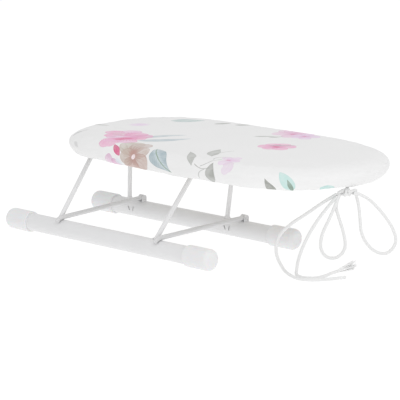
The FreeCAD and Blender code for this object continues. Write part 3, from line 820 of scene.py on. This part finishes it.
CORD_DIAMETER = 4.8 * MM
LOOP_RIGHT = [(276, -6.5, 112), (288, 4.5, 108), (304, 18.5, 87), (316, 30.5, 64), (320, 38.5, 40),
              (307, 31.5, 20), (290, 17.5, 27), (279, 7.5, 49), (277, 6.5, 75), (276, 4.5, 95),
              (274, -0.5, 110)]
LOOP_LEFT = [(261, -19.5, 110), (258, -24.5, 95), (253, -30.5, 76), (245, -38.5, 53), (242, -38.5, 31),
             (248, -30.5, 17), (259, -18.5, 17), (266, -9.5, 31), (262, -10.5, 53), (256, -15.5, 76),
             (253, -19.5, 93), (257, -14.5, 107)]
TAIL_LEFT = [(256, -19.5, 109), (243, -32.5, 98), (224, -47.5, 80), (204, -63.5, 63), (191, -73.5, 43),
             (191, -74.5, 20), (208, -77.5, 2.4), (233, -94.5, 2.4), (258, -105.5, 2.4), (277, -98.5, 2.4),
             (290, -80.5, 2.4), (299, -61.5, 2.4)]
TAIL_RIGHT = [(257, -22.5, 105), (251, -31.5, 93), (240, -43.5, 72), (230, -54.5, 46), (224, -63.5, 20),
              (232, -77.5, 2.4), (243, -89.5, 2.4), (256, -95.5, 2.4), (269, -91.5, 2.4), (276, -79.5, 2.4),
              (275, -63.5, 2.4), (271, -47.5, 2.4), (270, -31.5, 2.4)]

KNOT_LEFT = (259.5, -18.5, 111.6)
KNOT_RIGHT = (275.5, -2.5, 112.4)
KNOT_OVERRUN = 0.08         # share of the knot's length that its strands reach past each end
STRAND_STEPS = 12
STRAND_TWIST = 1.6          # half turns
STRAND_OFFSET = 2.2
STRAND_SWELL = 1.2
STRAND_RADIUS = 2.3 * MM
WRAPS = ((-2.4, 1.0), (2.2, -0.8))      # place along the knot from its middle, and lean
WRAP_HALF_WIDTH = 5.2
WRAP_HALF_HEIGHT = 4.4
WRAP_STEPS = 14
WRAP_OVERLAP = 3            # points of a wrap past its first turn
WRAP_RADIUS = 2.1 * MM
NECK_RADIUS = 2.4 * MM
KNOT_NECK = [(267.0, -10.5, 112.5), (265.5, -8.5, 115.0), (264.0, -6.5, 118.0), (263.0, -5.5, 120.5)]
TUFT_LEFT_END = (302.5, -53.5, 3.1)
TUFT_LEFT_RADIUS = 3.0 * MM
TUFT_LEFT_YARNS = 26
TUFT_RIGHT_END = (277.0, -3.5, 8.2)
TUFT_RIGHT_RADIUS = 8.0 * MM
TUFT_RIGHT_YARNS = 80
YARN_RADIUS = 0.6 * MM
YARN_SWAY = 2.2
ROOT_SPREAD = 1.9
WHIPPING_ALONG = (-2.5, -1.0, 0.6, 2.2)
WHIPPING_RADIUS = 2.5 * MM


def smooth_line(route, order=3):
    """The cord's line: a NURBS spline with the route's points as its control points, in metres."""
    curve = bpy.data.curves.new("line", "CURVE")
    curve.dimensions = "3D"
    spline = curve.splines.new("NURBS")
    spline.points.add(len(route) - 1)
    for point, place in zip(spline.points, route):
        point.co = (place[0] * MM, place[1] * MM, place[2] * MM, 1.0)
    spline.order_u = order
    spline.use_endpoint_u = True
    spline.resolution_u = 24
    holder = bpy.data.objects.new("line", curve)
    scene.collection.objects.link(holder)
    bpy.context.view_layer.update()
    mesh = bpy.data.meshes.new_from_object(holder)
    places = np.array([v.co[:] for v in mesh.vertices])
    bpy.data.objects.remove(holder)
    bpy.data.meshes.remove(mesh)
    return places


def even_line(places, step):
    lengths = np.concatenate([[0], np.cumsum(np.linalg.norm(np.diff(places, axis=0), axis=1))])
    count = max(8, int(lengths[-1] / step))
    at = np.linspace(0, lengths[-1], count)
    line = np.column_stack([np.interp(at, lengths, places[:, i]) for i in range(3)])
    return line, at


def rope_shape(places, radius, strands=3, lay=14 * MM, step=0.9 * MM, sides=24, depth=0.1, thin=0.0):
    """A twisted cotton cord along a line: its strands show as ridges that wind round it."""
    line, at = even_line(places, step)
    tangent = np.gradient(line, axis=0)
    tangent /= np.linalg.norm(tangent, axis=1, keepdims=True)
    side = np.cross(tangent[0], (0.31, 0.17, 0.93))
    sides_of = []
    for ahead in tangent:
        side = side - ahead * np.dot(side, ahead)
        side /= np.linalg.norm(side)
        sides_of.append(side)
    across = np.array(sides_of)[:, None]
    up = np.cross(tangent, across[:, 0])[:, None]
    angle = (2 * math.pi * np.arange(sides) / sides)[None, :]
    wound = angle - (2 * math.pi * at / lay)[:, None]
    ridge = np.abs(np.sin(wound * strands / 2)) ** 0.6
    size = radius * (1 - thin * at / at[-1])[:, None]
    reach = (size * (1 - depth + depth * ridge))[..., None]
    points = line[:, None] + reach * (across * np.cos(angle)[..., None] + up * np.sin(angle)[..., None])
    marks = np.stack([wound, np.broadcast_to(at[:, None], wound.shape), np.zeros_like(wound)], -1)
    faces = ring_faces(len(line), sides)
    faces.append(tuple(range(sides - 1, -1, -1)))
    faces.append(tuple(range(len(line) * sides - sides, len(line) * sides)))
    return points.reshape(-1, 3), faces, marks.reshape(-1, 3)


def rope_piece(name, shapes, material):
    """One piece made of any number of cords or yarns."""
    points, faces, marks, base = [], [], [], 0
    for part_points, part_faces, part_marks in shapes:
        points.append(part_points)
        marks.append(part_marks)
        faces += [tuple(base + i for i in face) for face in part_faces]
        base += len(part_points)
    piece = new_mesh(name, np.concatenate(points), faces)
    store_vectors(piece, "strand", np.concatenate(marks))
    piece.data.materials.append(material)
    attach(piece, "board")
    return piece


def bowed_line(first, second, third, fourth):
    """A short soft bend through two guides, in metres."""
    share = np.linspace(0, 1, 12)[:, None]
    left = 1 - share
    first, second, third, fourth = (np.array(p) for p in (first, second, third, fourth))
    return (left ** 3 * first + 3 * left ** 2 * share * second + 3 * left * share ** 2 * third
            + share ** 3 * fourth)


CORD_COTTON = cotton_cord("cotton_cord", 222, 240)
# the loose yarns get a lighter copy of the cord's cotton: painted light that makes up for the shade the yarns
# cast on one another
LOOSE_YARN_PAINTED_LIGHT = cotton_cord("loose_yarn_painted_light", 247, 251)


def make_cord(name, route, node):
    places = smooth_line(route)
    rope = rope_piece(name, [rope_shape(places, CORD_DIAMETER / 2)], CORD_COTTON)
    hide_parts(node)
    return rope, places


def make_knot():
    """The bow's knot: two strands wound round each other, and a wrap across the middle."""
    left = Vector(KNOT_LEFT)
    right = Vector(KNOT_RIGHT)
    along = (right - left).normalized()
    up = Vector((0, 0, 1))
    across = along.cross(up)
    length = (right - left).length
    shapes = []
    for phase in (0.0, math.pi):
        route = []
        for i in range(STRAND_STEPS + 1):
            share = i / STRAND_STEPS
            angle = phase + share * STRAND_TWIST * math.pi
            swell = STRAND_OFFSET + STRAND_SWELL * math.sin(math.pi * share)
            centre = left + along * (length * (share * (1 + 2 * KNOT_OVERRUN) - KNOT_OVERRUN))
            route.append(tuple(centre + (across * math.cos(angle) + up * math.sin(angle)) * swell))
        shapes.append(rope_shape(smooth_line(route), STRAND_RADIUS))
    for offset, lean in WRAPS:
        route = []
        for i in range(WRAP_STEPS + WRAP_OVERLAP):
            angle = 2 * math.pi * i / WRAP_STEPS
            centre = left + along * (length / 2 + offset + lean * math.sin(angle))
            sideways = across * math.cos(angle) * WRAP_HALF_WIDTH
            route.append(tuple(centre + (sideways + up * math.sin(angle) * WRAP_HALF_HEIGHT)))
        shapes.append(rope_shape(smooth_line(route), WRAP_RADIUS))
    shapes.append(rope_shape(smooth_line(KNOT_NECK), NECK_RADIUS))
    knot = rope_piece("bow_knot", shapes, CORD_COTTON)
    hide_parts("drawstring_knot")
    return knot


def make_tuft(name, node, start, end, radius, count, seed):
    """A frayed end: loose yarns that fan out from the cord, with a tight whipping at the root."""
    draw = random.Random(seed)
    start, end = Vector(start) * MM, Vector(end) * MM
    along = (end - start).normalized()
    up = Vector((0, 0, 1))
    across = along.cross(up).normalized()
    length = (end - start).length
    shapes = []
    for _ in range(count):
        angle = draw.uniform(0, 2 * math.pi)
        spread = math.sqrt(draw.random())
        out = across * math.cos(angle) + up * math.sin(angle)
        root = start + out * spread * ROOT_SPREAD * MM - along * MM
        tip = start + along * length * draw.uniform(0.8, 1.0) + out * spread * (radius - 0.7 * MM)
        sway = (across * draw.uniform(-1, 1) + up * draw.uniform(-1, 1)) * YARN_SWAY * MM
        second = root * 0.6 + tip * 0.4 + sway
        third = root * 0.25 + tip * 0.75 - sway
        line = bowed_line(root, second, third, tip)
        line[:, 2] = np.maximum(line[:, 2], YARN_RADIUS)
        shapes.append(rope_shape(line, YARN_RADIUS, 2, 3 * MM, 1.6 * MM, 6, thin=0.45))
    whipping = bowed_line(*(start + along * d * MM for d in WHIPPING_ALONG))
    shapes.append(rope_shape(whipping, WHIPPING_RADIUS, 3, 6 * MM, thin=0.25))
    tuft = rope_piece(name, shapes, LOOSE_YARN_PAINTED_LIGHT)
    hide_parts(node)
    return tuft


def make_bow():
    knot = make_knot()
    tuft_left = make_tuft("tuft_left", "tail_tuft_left", TAIL_LEFT[-1], TUFT_LEFT_END, TUFT_LEFT_RADIUS,
                          TUFT_LEFT_YARNS, 5)
    tuft_right = make_tuft("tuft_right", "tail_tuft_right", TAIL_RIGHT[-1], TUFT_RIGHT_END, TUFT_RIGHT_RADIUS,
                           TUFT_RIGHT_YARNS, 9)
    routes = (("loop_right", LOOP_RIGHT, "bow_loop_right", "object", "hanging", [knot]),
              ("loop_left", LOOP_LEFT, "bow_loop_left", "object", "hanging", [knot]),
              ("tail_left", TAIL_LEFT, "bow_tail_left", "bare", "loose", [knot, tuft_left]),
              ("tail_right", TAIL_RIGHT, "bow_tail_right", "bare", "loose", [knot, tuft_right]))
    for name, route, node, far_end, lay, on_it in routes:
        rope, places = make_cord(name, route, node)


# ---- the carried CAD pieces ----

def dress(material, *nodes):
    for name in nodes:
        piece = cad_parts[name]
        piece.data.materials.clear()
        piece.data.materials.append(material)


def dress_metal_and_plastic():
    wire = powder_coat("coated_wire", 231, 260.0, 0.3)
    tube = powder_coat("coated_tube", 228, 180.0, 0.35)
    # the brace arms and pins get a greyer copy of the wire's white coat: painted shade for the board's shadow
    # over the arms
    brace = powder_coat("coated_brace_painted_shade", 214, 260.0, 0.3)
    dress(wire, "front_leg_frame", "rear_leg_frame", "front_leg_welds", "rear_leg_welds",
          "brace_clevis_left", "brace_clevis_right")
    dress(brace, "brace_arm_left", "brace_arm_right", "brace_pin_left", "brace_pin_right")
    dress(tube, "front_foot_tube", "rear_foot_tube")
    dress(soft_plastic(), *(f"{end}_foot_cap_{side}" for end in ("front", "rear")
                            for side in ("left", "right")))
    dress(plated_steel("strap_steel", 222), *(f"{end}_pivot_strap_{side}" for end in ("front", "rear")
                                              for side in ("left", "right")))
    dress(plated_steel("screw_steel", 205), "strap_screws")
    dress(laminated_board(), "base_panel")
    dress(CORD_COTTON, "casing_cord")


# ---- camera, floor and light ----

AZIMUTH = math.radians(43.23)
ELEVATION = math.radians(11.84)
CAMERA_DISTANCE = 3.3
LENS = 198.0
AIM_RIGHT = 73.5 * MM
AIM_UP = 42.5 * MM
SENSOR_WIDTH = 36.0
FAR_CLIP = 50.0
FLOOR_HALF = 14.0
FLOOR_GLOW = 0.88
WORLD_GLOW = 0.75
LIGHTS = {
    "key": {"place": (0.9, -0.4, 2.1), "aim": (0, 0, 0.08), "size": 1.8, "power": 11.0},
    "fill": {"place": (-1.8, -0.8, 1.2), "aim": (0, 0, 0.08), "size": 1.6, "power": 0.3},
    "front": {"place": (1.9, -1.2, 0.3), "aim": (0, 0, 0.03), "size": 0.7, "power": 3.0},
}


def place_camera():
    right = Vector((math.cos(AZIMUTH), math.sin(AZIMUTH), 0))
    back = Vector((math.sin(AZIMUTH) * math.cos(ELEVATION), -math.cos(AZIMUTH) * math.cos(ELEVATION),
                   math.sin(ELEVATION)))
    up = back.cross(right)
    aim = FEET_MIDDLE + right * AIM_RIGHT + up * AIM_UP
    data = bpy.data.cameras.new("camera")
    data.lens = LENS
    data.sensor_width = SENSOR_WIDTH
    data.clip_end = FAR_CLIP
    camera = bpy.data.objects.new("camera", data)
    camera.location = aim + back * CAMERA_DISTANCE
    camera.rotation_euler = (aim - camera.location).to_track_quat("-Z", "Y").to_euler()
    scene.collection.objects.link(camera)
    scene.camera = camera


def place_floor():
    side = FLOOR_HALF
    floor = new_mesh("floor", [(-side, -side, 0), (side, -side, 0), (side, side, 0), (-side, side, 0)],
                     [(0, 1, 2, 3)], smooth=False)
    floor.data.materials.append(pale_floor())


def soft_light(name, place, aim, size, power):
    data = bpy.data.lights.new(name, "AREA")
    data.shape = "SQUARE"
    data.size = size
    data.energy = power
    light = bpy.data.objects.new(name, data)
    light.location = place
    light.rotation_euler = (Vector(aim) - Vector(place)).to_track_quat("-Z", "Y").to_euler()
    scene.collection.objects.link(light)


def place_lights():
    world = bpy.data.worlds.new("studio")
    world.use_nodes = True
    background = world.node_tree.nodes["Background"]
    background.inputs["Color"].default_value = (1, 1, 1, 1)
    background.inputs["Strength"].default_value = WORLD_GLOW
    scene.world = world
    for name, light in LIGHTS.items():
        soft_light(name, **light)
    scene.view_settings.view_transform = "Standard"
    scene.view_settings.look = "None"


place_camera()
place_floor()
place_lights()
make_bow()
make_cover()
make_foam()
make_hem()
dress_metal_and_plastic()

bpy.context.view_layer.update()
